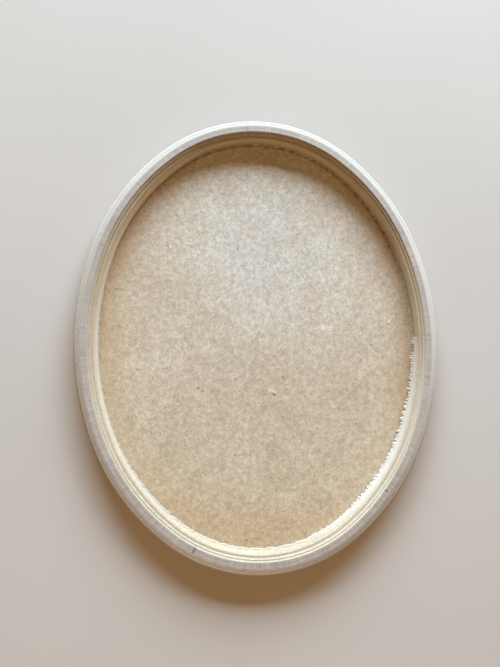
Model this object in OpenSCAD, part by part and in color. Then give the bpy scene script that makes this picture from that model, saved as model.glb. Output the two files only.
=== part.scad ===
// Oval frame drum with a shallow laminated hoop, a stepped moulding round the inside
// and a skin stretched over the far edge and tacked to the outside.
// It lies skin down: +Y is the long axis, +Z points out of the open back, and the
// origin is under the middle of the oval, on the skin's outer face.
// Cross-sections are drawn with x = 0 on the outline, -x inwards, and y upwards.

/* [Outline] */
// Length of the oval over the rim, along Y
rim_length = 450; // [440:1:460]
// Width of the oval over the rim, along X
rim_width = 360; // [354:1:366]
// Radius of the oval's two ends
end_r = 149.14; // [147:0.01:151]

/* [Hoop] */
// Height of the hoop, from the skin to the flat back face
hoop_height = 15.4; // [15:0.1:20]
// Thickness of each of the four bent plies
ply_thickness = 3.125; // [3:0.025:3.5]
// Width of the bevel on the outer edge
bevel_width = 6.5; // [4:0.1:8]
// Drop of the bevel below the flat back face
bevel_drop = 2.9; // [2:0.1:3.5]
// Width of the steep part at the bevel's outer edge
edge_width = 1.3; // [0.5:0.1:2]
// Drop of that steep part
edge_drop = 1.7; // [0.5:0.1:1.9]

/* [Moulding] */
// Width of each sloping step
step_width = 1.2; // [0.8:0.1:1.3]
// Drop of the first step
first_drop = 1.3; // [0.8:0.1:1.5]
// Drop of the second step
second_drop = 1.7; // [0.8:0.1:2]
// Width of the level beside each step
level_width = 1.05; // [0.8:0.05:1.2]
// Width of the quarter-round below the steps
round_width = 3.8; // [3:0.1:4.5]
// Drop of the quarter-round
round_drop = 9; // [7:0.1:9.4]
// Width of the bead's visible side
bead_width = 0.8; // [0.5:0.1:1.5]
// Gap between the two ends of the moulding where they meet
joint_gap = 0.2; // [0.1:0.05:0.4]

/* [Skin and fixings] */
// Thickness of the skin
skin_thickness = 0.8; // [0.5:0.1:1]
// Height that the skin's turned-up edge reaches
skin_edge = 9.4; // [9.2:0.1:10]
// Thickness of the trim band
band_thickness = 0.8; // [0.5:0.1:1]
// Distance between tacks along the rim
tack_pitch = 26.6; // [18:0.2:40]
// Diameter of a tack's dome
tack_d = 6.4; // [4:0.1:6.6]
// Height of a tack's dome
tack_rise = 1.8; // [1:0.1:2.5]
// Number of pins beside the moulding's joint
pin_count = 3; // [1:1:4]

/* [Hidden] */
$fn = 180;

half_length = rim_length / 2;
half_width = rim_width / 2;
top = skin_thickness + hoop_height;
hoop_width = 4 * ply_thickness;
rebate = skin_thickness + band_thickness;
rebate_gap = 0.2;
rebate_top = skin_edge + rebate_gap;
band_bottom = 2.6;
edge_round = 1.5;
skin_round = edge_round + skin_thickness;

// The moulding's insets and heights, from the hoop inwards
level_one = top - first_drop;
level_two = level_one - second_drop;
round_start = hoop_width + 2 * (step_width + level_width);
round_end = round_start + round_width;
bead_top = level_two - round_drop;
bead_depth = 1.2;
bead_back = round_end - bead_depth;
bead_front = round_end + bead_width;

// Tack and pin shanks
tack_height = 5.9;
shank_r = 0.65;
shank_length = 6.2;
shank_point = 1.6;
hole_start = 1;
pin_r = 0.7;
pin_length = 10;
pin_proud = 0.9;
pin_pitch = 3.1;
pin_first = 8.3;
pin_rise = 1.3;
pin_height = bead_top + pin_rise;

// The oval is eight arcs, tangent where they meet and close to a true ellipse. They
// meet on lines whose slopes are those of a 3-4-5 and a 44-117-125 triangle.
END_LINE = [0.6, 0.8];
SIDE_LINE = [0.936, 0.352];
side_step = (end_r + half_length - rim_width) / (SIDE_LINE.y - 2 * (1 - SIDE_LINE.x));
end_step = (half_width - end_r - side_step * (1 - SIDE_LINE.x)) / (1 - END_LINE.x);
end_c = [0, half_length - end_r];
shoulder_c = end_c - end_step * END_LINE;
side_c = shoulder_c - side_step * SIDE_LINE;
shoulder_r = end_r + end_step;
side_r = shoulder_r + side_step;
reach = 400;

// Each arc is [centre, radius, line that it starts on, line that it ends on]
QUARTERS = [
    [side_c, side_r, [SIDE_LINE.x, -SIDE_LINE.y], SIDE_LINE],
    [shoulder_c, shoulder_r, SIDE_LINE, END_LINE],
    [end_c, end_r, END_LINE, [-END_LINE.x, END_LINE.y]],
    [[-shoulder_c.x, shoulder_c.y], shoulder_r,
        [-END_LINE.x, END_LINE.y], [-SIDE_LINE.x, SIDE_LINE.y]]
];
OVAL = concat(QUARTERS, [for (arc = QUARTERS) [-arc[0], arc[1], -arc[2], -arc[3]]]);

function turn_of(line) = atan2(line.y, line.x);
function arc_turn(arc) = (turn_of(arc[3]) - turn_of(arc[2]) + 360) % 360;

module sweep() {
    for (arc = OVAL)
        translate(arc[0])
            intersection() {
                linear_extrude(height = top + 1)
                    polygon([[0, 0], reach * arc[2], reach * arc[3]]);
                rotate_extrude()
                    translate([arc[1], 0])
                        children();
            }
}

module plate(inset, height) {
    for (arc = OVAL)
        translate(arc[0])
            intersection() {
                linear_extrude(height = top + 1)
                    polygon([[0, 0], reach * arc[2], reach * arc[3]]);
                cylinder(r = arc[1] - inset, h = height);
            }
}

// A place on an arc of the rim, turned so that +X points straight out of it
module on_arc(arc, turn) {
    translate(arc[0])
        rotate([0, 0, turn_of(arc[2]) + turn])
            translate([arc[1], 0, 0])
                children();
}

module hoop_section() {
    difference() {
        polygon([
            [0, skin_thickness],
            [0, top - bevel_drop],
            [-edge_width, top - bevel_drop + edge_drop],
            [-bevel_width, top],
            [-hoop_width, top],
            [-hoop_width, skin_thickness]
        ]);
        translate([-rebate, 0])
            square([rebate + 1, rebate_top]);
        translate([-rebate - edge_round, skin_thickness])
            difference() {
                square(edge_round);
                translate([0, edge_round])
                    circle(edge_round);
            }
    }
}

module ply(n) {
    sweep()
        intersection() {
            hoop_section();
            translate([-(n + 1) * ply_thickness, 0])
                square([ply_thickness, top]);
        }
}

module each_tack() {
    for (arc = OVAL) {
        count = round(arc[1] * arc_turn(arc) * PI / 180 / tack_pitch);
        for (i = [0 : count - 1])
            on_arc(arc, (i + 0.5) * arc_turn(arc) / count)
                translate([0, 0, tack_height])
                    rotate([0, 90, 0])
                        children();
    }
}

// The shank's outline, starting at a height above the outside of the hoop
module shank_outline(start) {
    polygon([
        [0, start],
        [shank_r, start],
        [shank_r, shank_point - shank_length],
        [0, -shank_length]
    ]);
}

module tack_hole() {
    rotate_extrude($fn = 24)
        shank_outline(hole_start);
}

module tack() {
    ball_r = (tack_d * tack_d / 4 + tack_rise * tack_rise) / (2 * tack_rise);
    rotate_extrude($fn = 24) {
        shank_outline(0);
        intersection() {
            translate([0, tack_rise - ball_r])
                circle(ball_r);
            square([tack_d, tack_rise + 1]);
        }
    }
}

module each_pin() {
    for (i = [0 : pin_count - 1])
        translate([half_width - round_end - pin_proud, -pin_first - i * pin_pitch, pin_height])
            rotate([0, 90, 0])
                children();
}

module pin() {
    cylinder(r = pin_r, h = pin_length, $fn = 24);
}

module joint_cut() {
    translate([half_width - bead_front - 1, -joint_gap / 2, 0])
        cube([bead_front - hoop_width + 1, joint_gap, top + 1]);
}

module outer_ply() {
    color("burlywood")
        difference() {
            ply(0);
            each_tack() tack_hole();
        }
}

module second_ply() {
    color("tan")
        difference() {
            ply(1);
            each_tack() tack_hole();
        }
}

module third_ply() {
    color("wheat")
        ply(2);
}

module inner_ply() {
    color("tan")
        difference() {
            ply(3);
            each_pin() pin();
        }
}

module moulding_section() {
    polygon(concat(
        [
            [-hoop_width, skin_thickness],
            [-hoop_width, top],
            [-hoop_width - step_width, level_one],
            [-hoop_width - step_width - level_width, level_one],
            [-round_start + level_width, level_two]
        ],
        [for (turn = [0 : 15 : 90])
            [-round_start - round_width * sin(turn), level_two - round_drop * (1 - cos(turn))]],
        [
            [-bead_back, bead_top],
            [-bead_back, skin_thickness]
        ]
    ));
}

module moulding_strip() {
    color("wheat")
        difference() {
            sweep() moulding_section();
            joint_cut();
            each_pin() pin();
        }
}

module bead_section() {
    bead_height = bead_top - skin_thickness;
    polygon(concat(
        [
            [-bead_back, skin_thickness],
            [-bead_back, bead_top]
        ],
        [for (turn = [0 : 18 : 90])
            [-round_end - bead_width * sin(turn), skin_thickness + bead_height * cos(turn)]]
    ));
}

module edge_bead() {
    color("ivory")
        difference() {
            sweep() bead_section();
            joint_cut();
        }
}

module joint_pins() {
    color("silver")
        each_pin() pin();
}

module skin_section() {
    translate([-rebate, skin_round])
        square([skin_thickness, skin_edge - skin_round]);
    translate([-rebate - edge_round, skin_round])
        intersection() {
            difference() {
                circle(skin_round);
                circle(edge_round);
            }
            translate([0, -skin_round])
                square(skin_round);
        }
}

module head_skin() {
    color("antiquewhite")
        difference() {
            union() {
                sweep() skin_section();
                plate(rebate + edge_round, skin_thickness);
            }
            each_tack() tack_hole();
        }
}

module trim_band() {
    color("sienna")
        difference() {
            sweep()
                translate([-band_thickness, band_bottom])
                    square([band_thickness, skin_edge - band_bottom]);
            each_tack() tack_hole();
        }
}

module tacks() {
    color("goldenrod")
        each_tack() tack();
}

outer_ply();
second_ply();
third_ply();
inner_ply();
moulding_strip();
edge_bead();
joint_pins();
head_skin();
trim_band();
tacks();
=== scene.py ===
"""Looks for the oval frame drum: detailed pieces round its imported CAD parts, with light and camera.

The drum lies skin down with its open back up. +Y is its long axis, and the origin is under
the middle of the oval. Lengths called mm are millimetres; everything given to Blender is in
metres. A cross-section is a list of [inset, height] points in mm, where the inset runs inwards
from the drum's outline and the height runs up from the floor.
"""

import math

import bmesh
import bpy
import numpy as np
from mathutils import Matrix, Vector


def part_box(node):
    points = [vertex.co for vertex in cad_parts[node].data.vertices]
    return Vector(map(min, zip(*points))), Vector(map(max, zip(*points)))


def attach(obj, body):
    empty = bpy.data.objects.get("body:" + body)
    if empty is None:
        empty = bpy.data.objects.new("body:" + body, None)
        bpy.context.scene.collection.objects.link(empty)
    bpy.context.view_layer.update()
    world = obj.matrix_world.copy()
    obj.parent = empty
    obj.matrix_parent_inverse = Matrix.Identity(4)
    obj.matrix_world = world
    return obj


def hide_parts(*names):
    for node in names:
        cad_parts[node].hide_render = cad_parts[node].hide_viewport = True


MM = 0.001

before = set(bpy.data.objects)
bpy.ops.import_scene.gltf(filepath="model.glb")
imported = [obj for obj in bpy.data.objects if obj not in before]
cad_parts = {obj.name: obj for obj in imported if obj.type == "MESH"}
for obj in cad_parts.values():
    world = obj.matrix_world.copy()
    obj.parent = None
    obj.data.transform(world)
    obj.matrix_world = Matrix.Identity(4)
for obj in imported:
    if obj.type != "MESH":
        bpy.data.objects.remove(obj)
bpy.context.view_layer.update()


def top_of(node):
    """The height of a CAD node's highest point, in mm."""
    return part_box(node)[1][2] / MM


def half_size(node, axis):
    """Half of a CAD node's size along an axis, in mm."""
    low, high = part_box(node)
    return (high[axis] - low[axis]) / 2 / MM


# Sizes that the CAD gives
HALF_WIDTH = half_size("outer_ply", 0)
HALF_LENGTH = half_size("outer_ply", 1)
TOP = top_of("inner_ply")
BEAD_TOP = top_of("edge_bead")
SKIN_EDGE = top_of("head_skin")

# Sizes that part.scad gives, in mm
END_R = 149.14
SKIN = 0.8
BAND = 0.8
PLY = 3.125
BEVEL_WIDTH = 6.5
BEVEL_DROP = 2.9
EDGE_WIDTH = 1.3
EDGE_DROP = 1.7
STEP_WIDTH = 1.2
LEVEL_WIDTH = 1.05
FIRST_DROP = 1.3
SECOND_DROP = 1.7
ROUND_WIDTH = 3.8
ROUND_DROP = 9.0
BEAD_WIDTH = 0.8
BEAD_DEPTH = 1.2
JOINT_GAP = 0.2
REBATE = SKIN + BAND
REBATE_GAP = 0.2
REBATE_TOP = SKIN_EDGE + REBATE_GAP
EDGE_ROUND = 1.5
BAND_BOTTOM = 2.6
TACK_PITCH = 26.6
TACK_D = 6.4
TACK_RISE = 1.8
TACK_HEIGHT = 5.9
SHANK_R = 0.65
SHANK_LENGTH = 6.2
SHANK_POINT = 1.6
PIN_R = 0.7
PIN_LENGTH = 10.0
PIN_PROUD = 0.9
PIN_PITCH = 3.1
PIN_FIRST = 8.3
PIN_COUNT = 3
PIN_RISE = 1.3

# Insets and heights that follow from them
HOOP_WIDTH = 4 * PLY
LEVEL_ONE = TOP - FIRST_DROP
LEVEL_TWO = LEVEL_ONE - SECOND_DROP
ROUND_START = HOOP_WIDTH + 2 * (STEP_WIDTH + LEVEL_WIDTH)
ROUND_END = ROUND_START + ROUND_WIDTH
PIN_HEIGHT = BEAD_TOP + PIN_RISE

# How many places round the rim the swept pieces have a cross-section at
STATIONS = 1280

# What every random draw is seeded from
SEED = 7


# ---------------------------------------------------------------- outline

# The slopes of the lines on which the outline's arcs meet, as in part.scad
END_LINE = np.array([0.6, 0.8])
SIDE_LINE = np.array([0.936, 0.352])


def make_arcs():
    """The outline's arcs, anticlockwise from +X, as (centre, radius, start turn, end turn)."""
    side_step = (END_R + HALF_LENGTH - 2 * HALF_WIDTH) / (SIDE_LINE[1] - 2 * (1 - SIDE_LINE[0]))
    end_step = (HALF_WIDTH - END_R - side_step * (1 - SIDE_LINE[0])) / (1 - END_LINE[0])
    end_c = np.array([0, HALF_LENGTH - END_R])
    shoulder_c = end_c - end_step * END_LINE
    side_c = shoulder_c - side_step * SIDE_LINE
    shoulder_r = END_R + end_step
    side_r = shoulder_r + side_step
    side_turn = math.atan2(SIDE_LINE[1], SIDE_LINE[0])
    end_turn = math.atan2(END_LINE[1], END_LINE[0])
    flip = np.array([-1, 1])
    half = [
        (side_c, side_r, 0, side_turn),
        (shoulder_c, shoulder_r, side_turn, end_turn),
        (end_c, END_R, end_turn, math.pi - end_turn),
        (shoulder_c * flip, shoulder_r, math.pi - end_turn, math.pi - side_turn),
        (side_c * flip, side_r, math.pi - side_turn, math.pi),
    ]
    return half + [(-c, r, a + math.pi, b + math.pi) for c, r, a, b in half]


ARCS = make_arcs()
ARC_LENGTHS = [r * (b - a) for _, r, a, b in ARCS]
ROUND = sum(ARC_LENGTHS)


def outline(along):
    """Points on the outline and its outward directions, at distances along it in mm."""
    along = np.mod(np.asarray(along, float), ROUND)
    points = np.zeros((len(along), 2))
    outward = np.zeros((len(along), 2))
    start = 0
    for (centre, radius, first, last), length in zip(ARCS, ARC_LENGTHS):
        here = (along >= start) & (along <= start + length)
        turn = first + (along[here] - start) / radius
        outward[here] = np.stack([np.cos(turn), np.sin(turn)], 1)
        points[here] = centre + radius * outward[here]
        start += length
    return points, outward


def hit(x, y):
    """How far along the outline the point nearest to (x, y) is, in mm."""
    along = np.linspace(0, ROUND, 4000, endpoint=False)
    points, _ = outline(along)
    return along[np.argmin(np.hypot(points[:, 0] - x, points[:, 1] - y))]


def clock(along):
    """Degrees clockwise from +X, seen from above the open back, for distances along the rim."""
    shape = np.shape(along)
    points, _ = outline(np.ravel(along))
    turn = np.arctan2(-points[:, 1] / HALF_LENGTH, points[:, 0] / HALF_WIDTH)
    return np.degrees(turn).reshape(shape) % 360


def between(value, low, high, blur):
    """1 between two limits and 0 outside them, with soft edges."""
    return np.clip((value - low) / blur + 0.5, 0, 1) * np.clip((high - value) / blur + 0.5, 0, 1)


# ---------------------------------------------------------------- irregularity

def ripple(along, cycles, seed):
    """A smooth wave in -1..1 that closes on itself round the rim, with about that many cycles."""
    rng = np.random.default_rng(SEED + seed)
    total = np.zeros(np.shape(along))
    waves = 6
    for _ in range(waves):
        count = max(1, round(cycles * rng.uniform(0.6, 1.5)))
        total = total + np.sin(2 * math.pi * count * along / ROUND + rng.uniform(0, 2 * math.pi))
    return total / math.sqrt(waves * 2)


def grit(shape, seed):
    """Random values in -1..1."""
    return np.random.default_rng(SEED + seed).uniform(-1, 1, shape)


def bump_at(along, place, width):
    """A smooth hump, 1 at a place along the rim and 0 a few widths away."""
    away = np.mod(along - place + ROUND / 2, ROUND) - ROUND / 2
    return np.exp(-((away / width) ** 2))


# ---------------------------------------------------------------- cross-sections

def soften(corners, radius, rounds=3):
    """A closed section with each corner cut back to a small arc."""
    corners = np.asarray(corners, float)
    result = []
    count = len(corners)
    for i in range(count):
        before, here, after = corners[i - 1], corners[i], corners[(i + 1) % count]
        reach_in = min(radius, np.linalg.norm(before - here) * 0.45)
        reach_out = min(radius, np.linalg.norm(after - here) * 0.45)
        first = here + (before - here) / np.linalg.norm(before - here) * reach_in
        last = here + (after - here) / np.linalg.norm(after - here) * reach_out
        for t in np.linspace(0, 1, rounds):
            result.append((1 - t) ** 2 * first + 2 * t * (1 - t) * here + t * t * last)
    return np.array(result)


def refine(section, step):
    """A closed section with extra points, so that no side is longer than step."""
    result = []
    for here, after in zip(section, np.roll(section, -1, 0)):
        pieces = max(1, math.ceil(np.linalg.norm(after - here) / step))
        for t in np.arange(pieces) / pieces:
            result.append(here + (after - here) * t)
    return np.array(result)


def section_normals(section):
    """Directions that point out of an anticlockwise closed section, as [inset, height]."""
    after = np.roll(section, -1, 0)
    ahead = after - section
    ahead /= np.maximum(np.linalg.norm(ahead, axis=1, keepdims=True), 1e-9)
    tangent = ahead + np.roll(ahead, 1, 0)
    tangent /= np.maximum(np.linalg.norm(tangent, axis=1, keepdims=True), 1e-9)
    normals = np.stack([tangent[:, 1], -tangent[:, 0]], 1)
    area = np.sum(section[:, 0] * after[:, 1] - after[:, 0] * section[:, 1])
    return normals if area > 0 else -normals


def hoop_top(inset):
    """The height of the hoop's top at an inset."""
    low = TOP - BEVEL_DROP
    return float(np.interp(inset, [0, EDGE_WIDTH, BEVEL_WIDTH], [low, low + EDGE_DROP, TOP]))


def ply_section(number):
    """One ply of the hoop, counted from the outside."""
    near, far = number * PLY, (number + 1) * PLY
    if number == 0:
        low = [[REBATE + EDGE_ROUND * (1 - math.cos(t)), SKIN + EDGE_ROUND * (1 - math.sin(t))]
               for t in np.linspace(0, math.pi / 2, 5)]
        corners = [[near, REBATE_TOP], [REBATE, REBATE_TOP]] + low + [[far, SKIN]]
    else:
        corners = [[near, SKIN], [far, SKIN]]
    corners += [[far, hoop_top(far)]]
    corners += [[inset, hoop_top(inset)] for inset in (BEVEL_WIDTH, EDGE_WIDTH) if near < inset < far]
    return corners + [[near, hoop_top(near)]]


def moulding_section():
    """The stepped moulding inside the hoop."""
    arc = [[ROUND_START + ROUND_WIDTH * math.sin(t), LEVEL_TWO - ROUND_DROP * (1 - math.cos(t))]
           for t in np.linspace(0, math.pi / 2, 12)]
    return [
        [HOOP_WIDTH, SKIN],
        [ROUND_END - BEAD_DEPTH, SKIN],
        [ROUND_END - BEAD_DEPTH, BEAD_TOP],
    ] + arc[::-1] + [
        [ROUND_START - LEVEL_WIDTH, LEVEL_TWO],
        [HOOP_WIDTH + STEP_WIDTH + LEVEL_WIDTH, LEVEL_ONE],
        [HOOP_WIDTH + STEP_WIDTH, LEVEL_ONE],
        [HOOP_WIDTH, TOP],
    ]


def bead_section():
    """The bead that covers the join between the moulding and the skin."""
    height = BEAD_TOP - SKIN
    arc = [[ROUND_END + BEAD_WIDTH * math.sin(t), SKIN + height * math.cos(t)]
           for t in np.linspace(0, math.pi / 2, 12)]
    return [[ROUND_END - BEAD_DEPTH, SKIN]] + arc[::-1] + [[ROUND_END - BEAD_DEPTH, BEAD_TOP]]


# ---------------------------------------------------------------- meshes

def make_object(name, points, faces, uvs=None, sharp=40, **marks):
    """A smooth-shaded mesh object from points in mm.

    uvs holds one [u, v] for each corner of each face. Each of marks holds a number for each
    point, which the piece's material reads as an attribute.
    """
    mesh = bpy.data.meshes.new(name)
    mesh.from_pydata((np.asarray(points) * MM).tolist(), [], faces)
    if uvs is not None:
        layer = mesh.uv_layers.new(name="rim")
        layer.data.foreach_set("uv", np.asarray(uvs, float).ravel())
    for mark, values in marks.items():
        layer = mesh.attributes.new(mark, "FLOAT", "POINT")
        layer.data.foreach_set("value", np.asarray(values, float).ravel())
    solid = bmesh.new()
    solid.from_mesh(mesh)
    bmesh.ops.recalc_face_normals(solid, faces=solid.faces)
    solid.to_mesh(mesh)
    solid.free()
    mesh.polygons.foreach_set("use_smooth", [True] * len(mesh.polygons))
    mesh.set_sharp_from_angle(angle=math.radians(sharp))
    mesh.update()
    obj = bpy.data.objects.new(name, mesh)
    bpy.context.scene.collection.objects.link(obj)
    return obj


def swept(section, along, relief, closed=True):
    """Points, faces and UVs of a section swept along the rim.

    relief(along, section) gives how far each point stands out of the section, in mm. U is the
    share of the way round and V the distance round the section in metres.
    """
    moved = section + relief(along[:, None], section)[..., None] * section_normals(section)
    points, outward = outline(along)
    flat = points[:, None, :] - moved[..., :1] * outward[:, None, :]
    solid = np.concatenate([flat, moved[..., 1:]], 2).reshape(-1, 3)
    across = len(section)
    steps = len(along) if closed else len(along) - 1
    i, j = np.meshgrid(np.arange(steps), np.arange(across), indexing="ij")
    i, j = i.ravel(), j.ravel()
    i_next, j_next = (i + 1) % len(along), (j + 1) % across
    faces = np.stack([i * across + j, i_next * across + j,
                      i_next * across + j_next, i * across + j_next], 1)[:, ::-1].tolist()
    sides = np.linalg.norm(np.roll(section, -1, 0) - section, axis=1)
    v = np.concatenate([[0], np.cumsum(sides)]) * MM
    u = np.append(along, along[0] + ROUND if closed else along[-1]) / ROUND
    uvs = np.stack([u[i], v[j], u[i + 1], v[j], u[i + 1], v[j + 1], u[i], v[j + 1]], 1)
    uvs = uvs.reshape(-1, 4, 2)[:, ::-1].reshape(-1, 2)
    if not closed:
        first = list(range(across))
        last = list(range((len(along) - 1) * across, len(along) * across))
        faces += [first, last[::-1]]
        ends = [[u[0], v[k]] for k in first] + [[u[-1], v[k]] for k in range(across)][::-1]
        uvs = np.concatenate([uvs, ends])
    return solid, faces, uvs


def revolved(profile, sides):
    """Points and faces of a closed solid turned about Z from [radius, height] points.

    The first and last points lie on the axis.
    """
    inner = profile[1:-1]
    turn = np.arange(sides) * 2 * math.pi / sides
    points = [[0, 0, profile[0][1]]]
    for radius, height in inner:
        points += [[radius * math.cos(t), radius * math.sin(t), height] for t in turn]
    points.append([0, 0, profile[-1][1]])
    faces = []
    for k in range(sides):
        after = (k + 1) % sides
        faces.append([0, 1 + k, 1 + after])
        for ring in range(len(inner) - 1):
            low, high = 1 + ring * sides, 1 + (ring + 1) * sides
            faces.append([low + k, high + k, high + after, low + after])
        last = 1 + (len(inner) - 1) * sides
        faces.append([len(points) - 1, last + after, last + k])
    return np.array(points), faces


def joined(parts):
    """Many (points, faces) solids as one."""
    points, faces, start = [], [], 0
    for part_points, part_faces in parts:
        points.append(part_points)
        faces += [[start + k for k in face] for face in part_faces]
        start += len(part_points)
    return np.concatenate(points), faces


def finish_piece(obj, node, material):
    """Puts a piece in place of its CAD node, with its material."""
    obj.data.materials.append(material)
    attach(obj, "root")
    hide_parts(node)


# ---------------------------------------------------------------- materials

def srgb(red, green, blue):
    """A linear colour from display values of 0 to 255."""
    linear = []
    for value in (red, green, blue):
        share = value / 255
        linear.append(share / 12.92 if share <= 0.04045 else ((share + 0.055) / 1.055) ** 2.4)
    return (*linear, 1)


class Finish:
    """A material, with short ways of adding nodes to it."""

    def __init__(self, name, roughness=0.6, specular=0.5, metallic=0.0):
        self.material = bpy.data.materials.new(name)
        self.material.use_nodes = True
        self.tree = self.material.node_tree
        self.shader = self.tree.nodes["Principled BSDF"]
        self.shader.inputs["Roughness"].default_value = roughness
        self.shader.inputs["Specular IOR Level"].default_value = specular
        self.shader.inputs["Metallic"].default_value = metallic

    def feed(self, socket, value):
        """Links a socket to another one or sets its number or colour; None leaves it alone."""
        if isinstance(value, bpy.types.NodeSocket):
            self.tree.links.new(value, socket)
        elif value is not None:
            socket.default_value = value

    def math(self, operation, a, b=None):
        node = self.tree.nodes.new("ShaderNodeMath")
        node.operation = operation
        self.feed(node.inputs[0], a)
        self.feed(node.inputs[1], b)
        return node.outputs[0]

    def mix(self, share, a, b):
        """A share of colour b over colour a."""
        node = self.tree.nodes.new("ShaderNodeMix")
        node.data_type = "RGBA"
        self.feed(node.inputs[0], share)
        self.feed(node.inputs[6], a)
        self.feed(node.inputs[7], b)
        return node.outputs[2]

    def spread(self, value, low, high, to_low=0.0, to_high=1.0):
        """Maps low..high to to_low..to_high, clamped."""
        node = self.tree.nodes.new("ShaderNodeMapRange")
        for socket, number in zip(node.inputs, (value, low, high, to_low, to_high)):
            self.feed(socket, number)
        return node.outputs[0]

    def tint(self, value, *stops):
        """A colour ramp, with stops of (place, colour)."""
        node = self.tree.nodes.new("ShaderNodeValToRGB")
        ramp = node.color_ramp
        while len(ramp.elements) < len(stops):
            ramp.elements.new(0.5)
        for element, (place, colour) in zip(ramp.elements, stops):
            element.position = place
            element.color = colour
        self.feed(node.inputs[0], value)
        return node.outputs[0]

    def place(self, turn=0.0, stretch=(1, 1, 1)):
        """The point's place in metres, turned about Z in degrees and then stretched."""
        coords = self.tree.nodes.new("ShaderNodeTexCoord")
        mapping = self.tree.nodes.new("ShaderNodeMapping")
        mapping.vector_type = "TEXTURE"
        mapping.inputs["Rotation"].default_value = (0, 0, math.radians(turn))
        mapping.inputs["Scale"].default_value = [1 / factor for factor in stretch]
        self.feed(mapping.inputs["Vector"], coords.outputs["Object"])
        return mapping.outputs[0]

    def rim_place(self, along, across):
        """Coordinates that follow the rim, in features per metre along it and across it."""
        coords = self.tree.nodes.new("ShaderNodeTexCoord")
        parts = self.tree.nodes.new("ShaderNodeSeparateXYZ")
        whole = self.tree.nodes.new("ShaderNodeCombineXYZ")
        self.feed(parts.inputs[0], coords.outputs["UV"])
        turn = self.math("MULTIPLY", parts.outputs[0], 2 * math.pi)
        radius = along * ROUND * MM / (2 * math.pi)
        self.feed(whole.inputs[0], self.math("MULTIPLY", self.math("COSINE", turn), radius))
        self.feed(whole.inputs[1], self.math("MULTIPLY", self.math("SINE", turn), radius))
        self.feed(whole.inputs[2], self.math("MULTIPLY", parts.outputs[1], across))
        return whole.outputs[0]

    def noise(self, place, scale=1.0, detail=2.0, roughness=0.5, distortion=0.0):
        node = self.tree.nodes.new("ShaderNodeTexNoise")
        self.feed(node.inputs["Vector"], place)
        node.inputs["Scale"].default_value = scale
        node.inputs["Detail"].default_value = detail
        node.inputs["Roughness"].default_value = roughness
        node.inputs["Distortion"].default_value = distortion
        return node.outputs[0]

    def specks(self, place, scale, size):
        """1 in the middle of scattered specks and 0 between them; size is 0 to 1."""
        node = self.tree.nodes.new("ShaderNodeTexVoronoi")
        self.feed(node.inputs["Vector"], place)
        node.inputs["Scale"].default_value = scale
        return self.spread(node.outputs["Distance"], size * 0.4, size, 1.0, 0.0)

    def mark(self, name):
        """What the mesh says in one of its attributes."""
        node = self.tree.nodes.new("ShaderNodeAttribute")
        node.attribute_name = name
        return node.outputs["Fac"]

    def near(self, x, y, size, stretch=(1, 1), turn=0):
        """1 at a place on the skin given in mm, falling to 0 at a size in mm from it."""
        coords = self.tree.nodes.new("ShaderNodeTexCoord")
        mapping = self.tree.nodes.new("ShaderNodeMapping")
        mapping.vector_type = "TEXTURE"
        mapping.inputs["Location"].default_value = (x * MM, y * MM, 0)
        mapping.inputs["Rotation"].default_value = (0, 0, math.radians(turn))
        mapping.inputs["Scale"].default_value = (stretch[0], stretch[1], 1)
        self.feed(mapping.inputs["Vector"], coords.outputs["Object"])
        node = self.tree.nodes.new("ShaderNodeVectorMath")
        node.operation = "DISTANCE"
        self.feed(node.inputs[0], mapping.outputs[0])
        node.inputs[1].default_value = (0, 0, SKIN * MM)
        return self.spread(node.outputs["Value"], 0.0, size * MM, 1.0, 0.0)

    def finish(self, colour, height=None, distance=0.1, roughness=None):
        """Connects the colour, the bump height and its depth in mm, and the roughness."""
        self.feed(self.shader.inputs["Base Color"], colour)
        self.feed(self.shader.inputs["Roughness"], roughness)
        if height is not None:
            node = self.tree.nodes.new("ShaderNodeBump")
            node.inputs["Distance"].default_value = distance * MM
            self.feed(node.inputs["Height"], height)
            self.feed(self.shader.inputs["Normal"], node.outputs[0])
        return self.material


# Pale scuffs and dark specks on the skin: x, y and size in mm, stretch, turn in degrees, strength
SCUFFS = [
    (65.3, 11.0, 3.2, (1.0, 1.6), 20, 0.75),
    (71.5, 10.6, 3.0, (1.6, 1.0), -20, 0.35),
    (135.9, 17.2, 1.9, (1.0, 1.0), 0, 1.0),
    (12.4, -53.6, 3.0, (1.8, 0.7), -25, 0.6),
    (102.6, -105.8, 4.6, (1.6, 0.22), 0, 0.45),
]
SPECKS = [
    (14.0, -57.4, 2.2, (1.5, 0.7), -30, 0.95),
    (-62.0, -50.7, 1.9, (1.0, 1.0), 0, 0.7),
    (23.2, -40.8, 2.4, (0.8, 1.2), 10, 0.5),
    (3.7, -25.0, 1.6, (1.0, 1.0), 0, 0.45),
    (-24.7, -41.7, 1.8, (1.0, 1.0), 0, 0.4),
    (115.8, -8.2, 1.9, (1.0, 1.0), 0, 0.55),
    (121.5, -6.0, 1.6, (1.0, 1.0), 0, 0.35),
]

# Where the skin is palest and coolest, partly its own tone and partly painted light from the key at
# +Y: x, y and how far away it is brownest, in mm
PALEST_AND_LIT = (10, 105, 290)

# The ways that the skin's threads run, in degrees
THREAD_TURNS = (10, 55, 100, 145)


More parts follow.
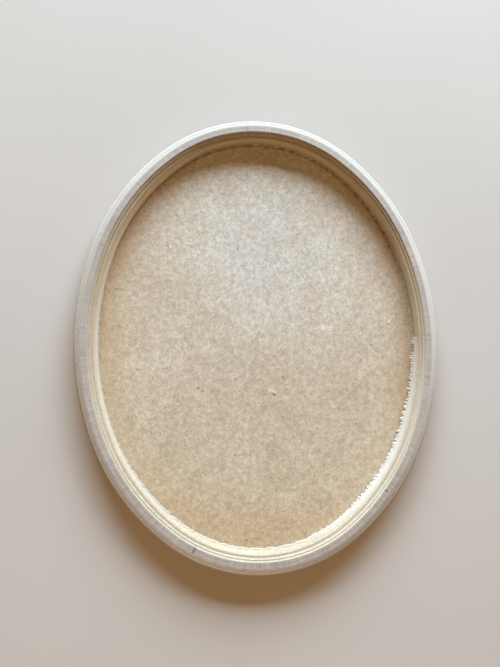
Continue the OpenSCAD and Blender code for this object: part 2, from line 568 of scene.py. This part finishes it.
def skin_finish():
    """Dried skin: clouded, finely fibrous and matt."""
    f = Finish("skin", roughness=0.7, specular=0.2)
    flat = f.place()
    clouds = f.noise(flat, 8, 3, 0.6)
    mottle = f.noise(flat, 46, 3, 0.6)
    felt = f.noise(flat, 170, 3, 0.6)
    fine = f.noise(flat, 420, 2, 0.6)
    # Paler and cooler towards the key's side: partly the skin's own tone, partly painted light
    colour = f.tint(
        f.near(*PALEST_AND_LIT),
        (0.0, srgb(219, 197, 165)),
        (0.08, srgb(226, 216, 193)),
        (0.46, srgb(226, 221, 205)),
        (0.76, srgb(228, 231, 225)),
        (0.95, srgb(224, 233, 235)),
    )
    colour = f.mix(f.spread(clouds, 0.4, 0.65, 0.0, 0.5), colour, srgb(204, 192, 166))
    warm = f.noise(f.place(35), 24, 3)
    colour = f.mix(f.spread(warm, 0.5, 0.68, 0.0, 0.3), colour, srgb(214, 188, 164))
    colour = f.mix(f.spread(mottle, 0.3, 0.62, 0.2, 0.0), colour, srgb(160, 142, 128))
    colour = f.mix(f.spread(felt, 0.32, 0.6, 0.36, 0.0), colour, srgb(158, 138, 114))
    colour = f.mix(f.spread(felt, 0.52, 0.75, 0.0, 0.26), colour, srgb(236, 228, 208))
    colour = f.mix(f.spread(fine, 0.35, 0.7, 0.36, 0.0), colour, srgb(152, 132, 108))
    # Painted shade: a brown band along the rim where its soft shadow falls on the skin
    edge = f.math("MULTIPLY", f.mark("edge"), f.spread(warm, 0.35, 0.6, 0.7, 1.0))
    colour = f.mix(edge, colour, srgb(178, 150, 108))
    for turn in THREAD_TURNS:
        threads = f.noise(f.place(turn, (1, 0.35, 1)), 620, 1, 0.5, 0.3)
        colour = f.mix(f.spread(threads, 0.66, 0.78, 0.0, 0.4), colour, srgb(134, 116, 98))
        colour = f.mix(f.spread(threads, 0.32, 0.22, 0.0, 0.22), colour, srgb(240, 232, 216))
    dots = f.specks(f.place(20), 62, 0.09)
    colour = f.mix(f.math("MULTIPLY", dots, 0.45), colour, srgb(96, 80, 66))
    height = f.math("ADD", felt, f.math("MULTIPLY", fine, 0.6))
    for x, y, size, stretch, turn, share in SCUFFS:
        patch = f.near(x, y, size, stretch, turn)
        broken = f.math("MULTIPLY", patch, f.spread(fine, 0.35, 0.6, 0.3, 1.0))
        colour = f.mix(f.math("MULTIPLY", broken, share), colour, srgb(255, 252, 250))
    for x, y, size, stretch, turn, share in SPECKS:
        patch = f.near(x, y, size, stretch, turn)
        colour = f.mix(f.math("MULTIPLY", patch, share), colour, srgb(62, 56, 46))
        height = f.math("SUBTRACT", height, f.math("MULTIPLY", patch, 2 * share))
    return f.finish(colour, height, 0.12)


def rim_wood(name, light, dark, cut, worn, hatch, ridge):
    """Wood that follows the rim, with marks across it and faint lines along it.

    Its colour runs from light to dark in patches. Where the attribute "cut" is 1, it runs from the
    cut colour to a paler one as a second attribute goes from 0 to 1; that one is painted light, and
    on the moulding so is "cut", paler or darker round the clock with how the lamps fall. A third
    attribute darkens it: real nicks, and painted shade in creases, in the shadow at the top and on
    the round where the key light falls strongest.
    hatch and ridge are how strong the marks across it and along it are.
    """
    f = Finish(name, roughness=0.6, specular=0.3)
    across = f.noise(f.rim_place(900, 90), 1, 2, 0.6)
    broad = f.noise(f.rim_place(160, 60), 1, 2, 0.6)
    along = f.noise(f.rim_place(5, 1500), 1, 2, 0.6)
    patches = f.noise(f.rim_place(30, 60), 1, 3, 0.6)
    fibres = f.noise(f.rim_place(420, 900), 1, 2, 0.6)
    colour = f.tint(patches, (0.3, light), (0.7, dark))
    colour = f.mix(f.spread(across, 0.35, 0.7, 0.0, hatch), colour, srgb(112, 104, 100))
    colour = f.mix(f.spread(broad, 0.5, 0.72, 0.0, hatch), colour, srgb(122, 112, 110))
    colour = f.mix(f.mark("cut"), colour, f.mix(f.mark("worn"), cut, worn))
    colour = f.mix(f.spread(along, 0.4, 0.7, 0.0, ridge), colour, srgb(128, 112, 84))
    colour = f.mix(f.spread(fibres, 0.45, 0.75, 0.0, 0.3), colour, srgb(240, 238, 232))
    colour = f.mix(f.mark("stain"), colour, srgb(60, 50, 44))
    height = f.math("ADD", f.math("MULTIPLY", across, 0.7), f.math("ADD", along, fibres))
    return f.finish(colour, height, 0.06)


def bead_finish():
    """Raised pale fibres where "pale" is 1, brown wood where it is 0, and dark where its stain
    attribute is 1: painted highlight beside each pin, painted shade under each pin and in the crease.
    """
    f = Finish("bead_wood", roughness=0.8, specular=0.15)
    strands = f.noise(f.rim_place(900, 500), 1, 2, 0.6)
    white = f.tint(strands, (0.3, srgb(222, 222, 220)), (0.7, srgb(250, 250, 250)))
    plain = f.tint(strands, (0.3, srgb(136, 116, 88)), (0.7, srgb(160, 140, 112)))
    colour = f.mix(f.mark("pale"), plain, white)
    return f.finish(f.mix(f.mark("stain"), colour, srgb(34, 28, 22)), strands, 0.12)


def leather_finish():
    """Brown leather with a pebbled grain, darker where "stain" is 1."""
    f = Finish("trim", roughness=0.5, specular=0.4)
    cells = f.tree.nodes.new("ShaderNodeTexVoronoi")
    cells.feature = "DISTANCE_TO_EDGE"
    cells.inputs["Scale"].default_value = 1150
    f.feed(cells.inputs["Vector"], f.place())
    grain = f.spread(cells.outputs["Distance"], 0.0, 0.25)
    tone = f.noise(f.rim_place(30, 260), 1, 4, 0.6)
    colour = f.tint(tone, (0.3, srgb(92, 56, 32)), (0.72, srgb(142, 94, 58)))
    colour = f.mix(f.spread(grain, 0.0, 0.4, 0.55, 0.0), colour, srgb(52, 30, 18))
    colour = f.mix(f.mark("stain"), colour, srgb(44, 26, 16))
    return f.finish(colour, grain, 0.12, f.spread(grain, 0, 1, 0.62, 0.42))


def brass_finish():
    """Brass that has dulled, darker in patches."""
    f = Finish("tack_brass", metallic=1.0)
    tarnish = f.noise(f.place(), 260, 4, 0.65)
    scratches = f.noise(f.place(30, (1, 8, 3)), 500, 2)
    colour = f.tint(tarnish, (0.35, srgb(214, 174, 92)), (0.7, srgb(140, 100, 48)))
    return f.finish(colour, scratches, 0.03, f.spread(tarnish, 0.3, 0.7, 0.24, 0.5))


def steel_finish():
    """Steel that has gone dark, with a few lighter spots."""
    f = Finish("pin_steel", metallic=0.8)
    spots = f.noise(f.place(), 2600, 3, 0.6)
    colour = f.tint(spots, (0.4, srgb(92, 82, 70)), (0.7, srgb(40, 34, 28)))
    return f.finish(colour, spots, 0.02, f.spread(spots, 0.3, 0.7, 0.4, 0.6))


def floor_finish():
    """A plain pale floor."""
    f = Finish("floor", roughness=1.0, specular=0.0)
    clouds = f.noise(f.place(), 3, 2)
    return f.finish(f.tint(clouds, (0.3, srgb(202, 200, 197)), (0.7, srgb(206, 204, 201))))


# ---------------------------------------------------------------- pieces

# Dark nicks across the flat face: x, y, depth and width in mm, and the outermost ply that each cuts
NICKS = [(132.6, -162.2, 0.4, 0.7, 3), (-70, -207, 0.35, 0.7, 2)]

# How far below the top of the hoop its tool marks and nicks reach, in mm
MARKED = 3.4

# Painted light on the bevel, which makes it paler or darker round the clock with how the lamps fall
# on it: degrees clockwise from +X, and how pale it is there
BEVEL_PAINTED_LIGHT = [
    (0, 20, 45, 60, 90, 110, 150, 170, 200, 230, 270, 300, 340, 360),
    (0.9, 0.4, 0.1, 0.2, 1.0, 0.95, 0.1, 0.0, 0.6, 0.95, 0.5, 0.5, 1.0, 0.9),
]

# The plies' nodes, from the outside in, and how far the corners of the two outer and the two
# inner ones are rounded, in mm
PLIES = ["outer_ply", "second_ply", "third_ply", "inner_ply"]
WORN_CORNER = 0.16
CLEAN_CORNER = 0.05


def ply_relief(number):
    """The relief of a ply, counted from the outside: tool marks and nicks in its top."""
    def relief(along, section):
        up = np.clip((section[:, 1] - TOP + MARKED) * 4, 0, 1)
        marks = 0.02 * grit((len(along), 1), 10 + number) + 0.03 * ripple(along, 90, number)
        depth = marks * up
        for x, y, deep, wide, first in NICKS:
            if number >= first:
                depth = depth - deep * bump_at(along, hit(x, y), wide) * up
        return np.minimum(depth, 0)
    return relief


def ply_stain(along, section, number):
    """Where a ply is darkened: its nicks, and painted shade along the inner ply's edge against the
    moulding, at the top.
    """
    stain = np.zeros((len(along), len(section)))
    if number == len(PLIES) - 1:
        edge = (section[:, 0] > HOOP_WIDTH - 0.3) & (section[:, 1] > TOP - 0.2)
        stain += 0.25 * between(clock(along), 200, 345, 30)[:, None] * edge
    for x, y, _, wide, first in NICKS:
        if number >= first:
            stain += 0.8 * bump_at(along, hit(x, y), wide)[:, None]
    return np.clip(stain, 0, 1)


def make_plies():
    along = np.arange(STATIONS) * ROUND / STATIONS
    colours = (srgb(197, 193, 189), srgb(181, 176, 173), srgb(176, 170, 158), srgb(214, 212, 206))
    for number, name in enumerate(PLIES):
        softness = WORN_CORNER if number < 2 else CLEAN_CORNER
        section = refine(soften(ply_section(number), softness), 0.9)
        points, faces, uvs = swept(section, along, ply_relief(number))
        bevelled = np.broadcast_to(section[:, 0] < BEVEL_WIDTH + 0.05, (len(along), len(section)))
        # Painted light: the bevel's paleness round the clock
        tone = np.broadcast_to(np.interp(clock(along), *BEVEL_PAINTED_LIGHT)[:, None], bevelled.shape)
        piece = make_object(name + "_wood", points, faces, uvs, cut=bevelled, worn=tone,
                            stain=ply_stain(along, section, number))
        finish_piece(piece, name, rim_wood(f"{name}_finish", *colours, 0.28, 0.3))


# Painted light on the moulding's round, paler or darker round the clock with how the lamps fall:
# degrees clockwise from +X, and how pale it is there
ROUND_PAINTED_LIGHT = [
    (0, 20, 40, 60, 75, 125, 150, 180, 210, 225, 250),
    (1.0, 1.0, 0.66, 0.2, 0.0, 0.05, 0.35, 0.8, 1.0, 0.8, 0.0),
]

# Painted light on the moulding's two steps: degrees clockwise from +X, and how pale they are there
STEPS_PAINTED_LIGHT = [
    (0, 10, 20, 45, 70, 90, 120, 150, 225, 250, 325, 345, 360),
    (0.22, 0.3, 0.35, 0.22, 0.12, 0.0, 0.0, 0.12, 0.12, 0.0, 0.0, 0.2, 0.22),
]

# The moulding's last end stands proud at its butt joint: how far and over what length, in mm
PROUD_END = 0.4
PROUD_LENGTH = 30


def moulding_relief(along, section):
    """A slight waviness of the moulding, and its proud end."""
    inner = np.clip(section[:, 0] - HOOP_WIDTH - 0.3, 0, 1)
    proud = PROUD_END * np.clip(1 - (ROUND - along) / PROUD_LENGTH, 0, 1) ** 2
    return (0.02 * ripple(along, 40, 3) - 0.02 + proud) * inner


def make_moulding():
    along = np.linspace(JOINT_GAP / 2, ROUND - JOINT_GAP / 2, STATIONS)
    section = refine(soften(moulding_section(), 0.12), 1.1)
    points, faces, uvs = swept(section, along, moulding_relief, closed=False)
    turn = clock(along)[:, None]
    inset = section[:, 0]
    low = np.clip((inset - ROUND_START) / ROUND_WIDTH, 0, 1) ** 1.5

    # Paler, towards the cut colour: painted light on the round, the steps and the round in the shadow
    # at the top, set round the clock by how the lamps fall; and the level beside the second step at
    # the bottom
    round_light = np.interp(turn, *ROUND_PAINTED_LIGHT) * low
    steps = (inset < ROUND_START + 0.5) * np.interp(turn, *STEPS_PAINTED_LIGHT)
    painted_light_in_shadow = between(inset, ROUND_START + 1.5, ROUND_END - 0.2, 0.8)
    painted_light_in_shadow = 0.3 * painted_light_in_shadow * between(turn, 225, 365, 30)
    level = between(inset, ROUND_START - 0.9, ROUND_START + 0.1, 0.3)
    level = level * 0.22 * between(turn, 60, 160, 30)
    cut = np.clip(round_light + steps + painted_light_in_shadow + level, 0, 1)
    # Painted light: whiter still at the right, where the lamps light the round weakly
    worn = np.broadcast_to(between(turn, -20, 60, 30), cut.shape)

    # Painted shade: the foot of the round and the edge against the inner ply in the shadow at the
    # top, and a dimming of the top of the round at the bottom, where the key light falls strongest
    painted_foot_shade = 0.12 * between(turn, 225, 350, 20) * np.clip(low * 2 - 1, 0, 1)
    painted_meeting_shade = 0.45 * between(turn, 225, 345, 20) * (inset < HOOP_WIDTH + 0.3)
    painted_brow_dimming = 0.1 * between(turn, 60, 150, 30) * (low > 0) * np.clip(1 - 2 * low, 0, 1)
    piece = make_object("moulding_strip_wood", points, faces, uvs, 25,
                        stain=painted_foot_shade + painted_meeting_shade + painted_brow_dimming, cut=cut, worn=worn)
    finish = rim_wood("moulding_finish", srgb(183, 170, 146), srgb(172, 159, 135),
                      srgb(252, 240, 216), srgb(252, 250, 240), 0.1, 0.25)
    finish_piece(piece, "moulding_strip", finish)


# The fibres raised on the bead, in degrees clockwise from +X: teeth as far as TEETH_TO, fur as far
# as FUR_TO and then dashes, which are pale only beyond DASH_FROM. The bead's own front is ragged
# from FUR_FROM to FUR_TO.
TEETH_TO = 72
FUR_FROM = 20
FUR_TO = 205
DASH_FROM = 268

# Each kind of fibre: the distance between them, their length and width, how far in from the end
# of the moulding's round and how high they start, all in mm, and how pale they are
TEETH = (3.3, 3.4, 1.0, 0.0, 3.6, 1.0)
FUR = (2.2, 1.4, 0.55, 0.1, 1.5, 0.38)
DASHES = (10.5, 1.2, 0.9, -0.1, 4.2, 0.7)
DULL_DASH = 0.2

# How far apart the fibres in one dash are, in mm, and the most that there are of them
DASH_PITCH = 1.4
DASH_MOST = 6

# Where the crease between bead and moulding is, in mm in from the end of the moulding's round
CREASE = 0.15


def tuft(rng, root, out, up, length, width):
    """A small ragged cone of fibres that leans out from root, as points and faces."""
    sides, levels = 5, 3
    side = np.cross(out, up)
    bend = rng.uniform(-0.4, 0.4)
    points = []
    for level in range(levels):
        share = level / levels
        centre = root + out * length * share + side * bend * length * share ** 2
        for k in range(sides):
            turn = 2 * math.pi * k / sides
            reach = width * (1 - share) ** 0.7 * rng.uniform(0.7, 1.2)
            points.append(centre + reach * (math.cos(turn) * side + math.sin(turn) * up * 0.6))
    points.append(root + out * length + side * bend * length)
    faces = [list(range(sides))[::-1]]
    for level in range(levels - 1):
        for k in range(sides):
            after = (k + 1) % sides
            faces.append([level * sides + k, level * sides + after,
                          (level + 1) * sides + after, (level + 1) * sides + k])
    last, tip = (levels - 1) * sides, len(points) - 1
    faces += [[last + k, last + (k + 1) % sides, tip] for k in range(sides)]
    return np.array(points), faces


def pin_marks():
    """How far along the rim each pin is, and how far along the pale fibre with its painted highlight
    beside it is, in mm.
    """
    pins = [ROUND - PIN_FIRST - k * PIN_PITCH for k in range(PIN_COUNT)]
    return pins, [place + PIN_PITCH / 2 for place in pins]


def tufts():
    """Points, faces and paleness of the fibres that stand out along the bead."""
    rng = np.random.default_rng(SEED + 50)
    place, solids, pales = 1.0, [], []
    pins_end = PIN_FIRST + PIN_COUNT * PIN_PITCH
    while place < ROUND - 1:
        turn = float(clock(place))
        if ROUND - pins_end < place < ROUND - PIN_FIRST + 1:
            # The pins stand here
            place += 1
            continue
        kind = TEETH if turn < TEETH_TO else FUR if turn < FUR_TO else DASHES
        step, length, width, inset, height, pale = kind
        if FUR_TO <= turn <= DASH_FROM:
            pale = DULL_DASH
        points, outward = outline([place])
        along_rim = np.array([-outward[0][1], outward[0][0], 0])
        inward = -outward[0] * math.cos(rng.normal(0, 0.3))
        lean = np.array([*inward, -rng.uniform(0.1, 0.9)])
        lean += along_rim * rng.normal(0, 0.45)
        lean /= np.linalg.norm(lean)
        up = np.cross(np.cross(lean, [0, 0, 1]), lean)
        up /= np.linalg.norm(up)
        root = np.array([*(points[0] - outward[0] * (ROUND_END + inset)), height])
        runs = int(rng.integers(1, DASH_MOST + 1)) if kind == DASHES else 1
        for run in range(runs):
            shift = along_rim * (run - (runs - 1) / 2) * DASH_PITCH
            solids.append(tuft(rng, root + shift, lean, up,
                               length * rng.uniform(0.5, 1.3), width * rng.uniform(0.6, 1.3)))
            pales.append(np.full(len(solids[-1][0]), pale))
        place += step * rng.uniform(0.6, 1.4)
    # A pale tuft beside each pin, as a painted highlight of the pin
    for place in pin_marks()[1]:
        points, outward = outline([place])
        root = np.array([*(points[0] - outward[0] * (ROUND_END - 0.2)), PIN_HEIGHT - 0.5])
        inward = np.array([*-outward[0], 0])
        solids.append(tuft(rng, root, inward, np.array([0, 0, 1.0]), 1.0, 0.7))
        pales.append(np.ones(len(solids[-1][0])))
    points, faces = joined(solids)
    return points, faces, np.concatenate(pales)


def crease_line(section, width):
    """1 in the crease between bead and moulding, fading within a width in mm."""
    away = (section[:, 0] - ROUND_END - CREASE) / width
    return np.exp(-(away ** 2)) * (section[:, 1] > SKIN + 0.5)


def furry(turn):
    """1 where the bead's front is ragged, for degrees clockwise from +X."""
    return between(turn, FUR_FROM, FUR_TO, 12)


def bead_relief(along, section):
    """The bead's ragged front, and the groove between it and the moulding."""
    turn = clock(along)
    shown = np.clip((section[:, 0] - ROUND_END - 0.1) * 2.5, 0, 1)
    groove = crease_line(section, 0.22) * (1 - between(turn, -25, 70, 20))
    groove = groove * (1 - 0.6 * between(turn, 190, 240, 20))
    ragged = 0.3 * ripple(along, 110, 4) + 0.2 * ripple(along, 260, 5) - 0.15
    return (ragged * (0.15 + 0.85 * furry(turn)) - 0.05) * shown - 0.45 * groove


def make_bead():
    along = np.linspace(JOINT_GAP / 2, ROUND - JOINT_GAP / 2, STATIONS)
    section = refine(soften(bead_section(), 0.1), 0.6)
    points, faces, uvs = swept(section, along, bead_relief, closed=False)
    along = along[:, None]
    turn = clock(along)

    # Pale: fur, dashes and a line along the front, a share more at the right and the left, and a
    # painted highlight beside each pin
    crest = np.clip((section[:, 0] - ROUND_END - 0.1) * 3, 0, 1)
    dashes = between(turn, FUR_TO, 359.9, 6) * np.clip(ripple(along, 110, 9) * 3, 0, 1) * 0.2
    line = between(turn, 338, 362, 12) * 0.5
    even = 0.45 * between(turn, -20, TEETH_TO, 15) + 0.2 * between(turn, 170, 232, 15)
    pale = np.clip((0.32 * furry(turn) + dashes + line) * crest + even, 0, 1)
    pins, fibres = pin_marks()
    pale = np.maximum(pale, sum(bump_at(along, place, 0.8) for place in fibres))

    # Painted shade: under each pin, and in the crease against the moulding at the bottom
    below = np.clip(sum(bump_at(along, place, 0.8) for place in pins), 0, 1)
    stain = 0.3 * crease_line(section, 0.25) * between(turn, 60, 175, 30) + 0.5 * below

    more_points, more_faces, more_pale = tufts()
    points, faces = joined([(points, faces), (more_points, more_faces)])
    corners = sum(len(face) for face in more_faces)
    uvs = np.concatenate([uvs, np.random.default_rng(SEED).uniform(0, 0.001, (corners, 2))])
    piece = make_object("edge_bead_fibre", points, faces, uvs, 60,
                        pale=np.concatenate([pale.ravel(), more_pale]),
                        stain=np.concatenate([stain.ravel(), np.zeros(len(more_pale))]))
    finish_piece(piece, "edge_bead", bead_finish())


def make_pins():
    dome, point, tip = 0.35, 0.8, 0.12
    near_end = [[PIN_R * math.sin(t), dome * (1 - math.cos(t))]
                for t in np.linspace(0, math.pi / 2, 7)]
    far_end = [[PIN_R, PIN_LENGTH - point], [tip, PIN_LENGTH], [0, PIN_LENGTH]]
    solid, faces = revolved(near_end + far_end, 20)
    along_x = np.stack([solid[:, 2], solid[:, 1], -solid[:, 0]], 1)
    solids = []
    for k in range(PIN_COUNT):
        place = [HALF_WIDTH - ROUND_END - PIN_PROUD, -PIN_FIRST - k * PIN_PITCH, PIN_HEIGHT]
        solids.append((along_x + place, faces))
    piece = make_object("joint_pins_steel", *joined(solids))
    finish_piece(piece, "joint_pins", steel_finish())


# Painted shade along the skin's edge, where the rim's soft shadow falls: degrees clockwise from +X,
# and how brown it is there
RIM_SHADE = [
    (0, 15, 30, 45, 105, 120, 150, 170, 200, 215, 230, 245, 300, 320, 345, 360),
    (0.4, 0.55, 0.45, 0.12, 0.08, 0.2, 0.42, 0.55, 0.55, 0.5, 0.25, 0.0, 0.0, 0.3, 0.4, 0.4),
]


# How far in from the rim the painted shade has faded away, and over what width it fades, in mm
RIM_SHADE_REACH = 48
RIM_SHADE_FADE = 24


def skin_section():
    """The skin's bend round the far edge of the rim, its wall up the outside, and back again."""
    bend = REBATE + EDGE_ROUND
    outer = EDGE_ROUND + SKIN
    low, high = [], []
    for t in np.linspace(0, math.pi / 2, 7)[1:]:
        low.append([bend - EDGE_ROUND * math.sin(t), SKIN + EDGE_ROUND * (1 - math.cos(t))])
        high.append([bend - outer * math.sin(t), outer * (1 - math.cos(t))])
    tops = np.linspace(low[-1][1], SKIN_EDGE, 8)[1:]
    inside = [[REBATE, z] for z in tops]
    crest = [[REBATE - SKIN / 2, SKIN_EDGE - 0.02]]
    outside = [[REBATE - SKIN, z] for z in tops[::-1]]
    return low + inside + crest + outside + high[::-1]


def make_skin():
    stations, rings = 480, 60
    along = np.arange(stations) * ROUND / stations
    points, outward = outline(along)
    bend = REBATE + EDGE_ROUND
    section = skin_section()
    shares = np.linspace(0, 1, rings + 1)[1:]

    # Rings from the middle outwards on the inside, round the edge, and back to the middle outside
    layers, heights = [], []
    inner = points - bend * outward
    for share in shares:
        layers.append(inner * share)
        heights.append(np.full(stations, SKIN))
    for inset, z in section:
        pucker = 0.08 * ripple(along, 90, 6) * np.clip((z - 3) / 4, 0, 1)
        layers.append(points - (inset + np.abs(pucker))[:, None] * outward)
        heights.append(np.full(stations, z))
    for share in shares[::-1]:
        layers.append(inner * share)
        heights.append(np.zeros(stations))
    solid = np.concatenate([np.stack(layers), np.stack(heights)[..., None]], 2).reshape(-1, 3)
    centre_top, centre_low = len(solid), len(solid) + 1
    solid = np.concatenate([solid, [[0, 0, SKIN], [0, 0, 0]]])
    i, j = np.meshgrid(np.arange(len(layers) - 1), np.arange(stations), indexing="ij")
    i, j = i.ravel(), j.ravel()
    after = (j + 1) % stations
    faces = np.stack([i * stations + j, (i + 1) * stations + j,
                      (i + 1) * stations + after, i * stations + after], 1).tolist()
    last = (len(layers) - 1) * stations
    for k in range(stations):
        after = (k + 1) % stations
        faces.append([centre_top, k, after])
        faces.append([centre_low, last + after, last + k])
    reached = np.concatenate([shares, np.ones(len(section)), shares[::-1]])
    away = bend + (1 - reached)[:, None] * np.linalg.norm(inner, axis=1)
    # Painted shade along the rim, strongest where the rim's soft shadow falls
    edge = np.clip((RIM_SHADE_REACH - away) / RIM_SHADE_FADE, 0, 1) * np.interp(clock(along), *RIM_SHADE)
    edge = np.append(edge.ravel(), [0, 0])
    piece = make_object("head_skin_hide", solid, faces, edge=edge)
    finish_piece(piece, "head_skin", skin_finish())


def tack_places():
    """How far along the rim each tack is, in mm: evenly spaced on each of the oval's eight arcs."""
    lengths = ARC_LENGTHS
    runs = [lengths[0] + lengths[9], *lengths[1:4], lengths[4] + lengths[5], *lengths[6:9]]
    places, start = [], -lengths[9]
    for length in runs:
        count = round(length / TACK_PITCH)
        places += [start + (k + 0.5) * length / count for k in range(count)]
        start += length
    return np.array(places)


def tack_height_share(section):
    """1 level with the tacks, fading above and below them."""
    return np.exp(-(((section[:, 1] - TACK_HEIGHT) / 3.0) ** 2))


def make_band():
    along = np.arange(STATIONS) * ROUND / STATIONS
    corners = [[0, BAND_BOTTOM], [BAND, BAND_BOTTOM], [BAND, SKIN_EDGE], [0, SKIN_EDGE]]
    section = refine(soften(corners, 0.3, 4), 0.6)
    places = tack_places()

    def relief(along, section):
        outside = np.clip(1 - section[:, 0] / 0.4, 0, 1)
        dimple = sum(bump_at(along, place, TACK_D / 2) for place in places)
        pressed = -0.1 * dimple * tack_height_share(section)
        return (pressed - 0.03 * (1 + ripple(along, 130, 8))) * outside

    points, faces, uvs = swept(section, along, relief)
    ring = sum(bump_at(along, place, 3.0) for place in places)
    stain = 0.6 * np.clip(ring, 0, 1)[:, None] * tack_height_share(section)
    piece = make_object("trim_band_leather", points, faces, uvs, stain=stain)
    finish_piece(piece, "trim_band", leather_finish())


def make_tacks():
    # The dome is part of a ball, and its lip turns under it
    ball = (TACK_D ** 2 / 4 + TACK_RISE ** 2) / (2 * TACK_RISE)
    widest = math.asin(TACK_D / 2 / ball)
    dome = [[ball * math.sin(t), TACK_RISE - ball + ball * math.cos(t)]
            for t in np.linspace(0, widest, 9)]
    lip = [[TACK_D / 2 - 0.08, -0.02], [TACK_D / 2 - 0.5, 0.0]]
    shank = [[SHANK_R, 0], [SHANK_R, SHANK_POINT - SHANK_LENGTH], [0, -SHANK_LENGTH]]
    solid, faces = revolved((dome + lip + shank)[::-1], 28)
    rng = np.random.default_rng(SEED)
    solids = []
    points, outward = outline(tack_places())
    for (x, y), (nx, ny) in zip(points, outward):
        seat = rng.uniform(0.0, 0.06)
        out = solid[:, 2] - seat
        placed = np.stack([
            x + nx * out - ny * solid[:, 0],
            y + ny * out + nx * solid[:, 0],
            TACK_HEIGHT + solid[:, 1],
        ], 1)
        solids.append((placed, faces))
    piece = make_object("tacks_brass", *joined(solids))
    finish_piece(piece, "tacks", brass_finish())


# ---------------------------------------------------------------- stage

# The camera's place in metres, its turn in degrees, and its lens and sensor in mm
CAMERA_PLACE = (-0.0559, -0.0553, 0.5009)
CAMERA_TURN = (6.86, -5.20, -0.79)
CAMERA_LENS = 26.99
SENSOR = 36

# The low hard key light and the soft warm room light: each one's turn anticlockwise from +X and
# its rise in degrees, its distance and size in metres, its power in watts and its colour
KEY_TURN = 82
KEY_RISE = 18.3
KEY_DISTANCE = 3.0
KEY_SIZE = (3.2, 1.0)
KEY_POWER = 300
KEY_COLOUR = (0.77, 0.9, 1.0)
ROOM_TURN = -95
ROOM_RISE = 50
ROOM_DISTANCE = 2.5
ROOM_SIZE = (2.0, 2.0)
ROOM_POWER = 18.5
ROOM_COLOUR = (1.0, 0.6, 0.3)

# What the surroundings give as light, what the camera sees of them, and the floor in metres
FILL_COLOUR = (1.0, 0.55, 0.2, 1)
FILL_STRENGTH = 0.15
WALL_COLOUR = srgb(214, 211, 207)
FLOOR_SIZE = 2.4
FLOOR_DROP = 0.00005


def make_camera():
    data = bpy.data.cameras.new("camera")
    data.lens = CAMERA_LENS
    data.sensor_width = SENSOR
    camera = bpy.data.objects.new("camera", data)
    camera.location = CAMERA_PLACE
    camera.rotation_euler = [math.radians(turn) for turn in CAMERA_TURN]
    bpy.context.scene.collection.objects.link(camera)
    bpy.context.scene.camera = camera


def add_area(name, turn, rise, distance, size, power, colour):
    """A rectangular light that faces the drum."""
    data = bpy.data.lights.new(name, "AREA")
    data.shape = "RECTANGLE"
    data.size, data.size_y = size
    data.energy = power
    data.color = colour
    light = bpy.data.objects.new(name, data)
    flat = distance * math.cos(math.radians(rise))
    light.location = (
        flat * math.cos(math.radians(turn)),
        flat * math.sin(math.radians(turn)),
        distance * math.sin(math.radians(rise)),
    )
    light.rotation_euler = (math.radians(90 - rise), 0, math.radians(turn + 90))
    bpy.context.scene.collection.objects.link(light)


def make_stage():
    corners = np.array([[-1, -1, 0], [1, -1, 0], [1, 1, 0], [-1, 1, 0]]) * FLOOR_SIZE / 2
    floor = make_object("floor", (corners - [0, 0, FLOOR_DROP]) / MM, [[0, 1, 2, 3]])
    floor.data.materials.append(floor_finish())
    world = bpy.data.worlds.new("studio")
    world.use_nodes = True
    tree = world.node_tree
    # The drum is lit by a weak warm fill, and the camera sees a pale wall in its place
    back = tree.nodes["Background"]
    back.inputs[0].default_value = FILL_COLOUR
    back.inputs[1].default_value = FILL_STRENGTH
    wall = tree.nodes.new("ShaderNodeBackground")
    wall.inputs[0].default_value = WALL_COLOUR
    path = tree.nodes.new("ShaderNodeLightPath")
    either = tree.nodes.new("ShaderNodeMixShader")
    tree.links.new(path.outputs["Is Camera Ray"], either.inputs[0])
    tree.links.new(back.outputs[0], either.inputs[1])
    tree.links.new(wall.outputs[0], either.inputs[2])
    tree.links.new(either.outputs[0], tree.nodes["World Output"].inputs[0])
    bpy.context.scene.world = world
    add_area("key", KEY_TURN, KEY_RISE, KEY_DISTANCE, KEY_SIZE, KEY_POWER, KEY_COLOUR)
    add_area("room", ROOM_TURN, ROOM_RISE, ROOM_DISTANCE, ROOM_SIZE, ROOM_POWER, ROOM_COLOUR)
    bpy.context.scene.view_settings.view_transform = "Standard"


make_camera()
make_plies()
make_moulding()
make_bead()
make_pins()
make_skin()
make_band()
make_tacks()
make_stage()
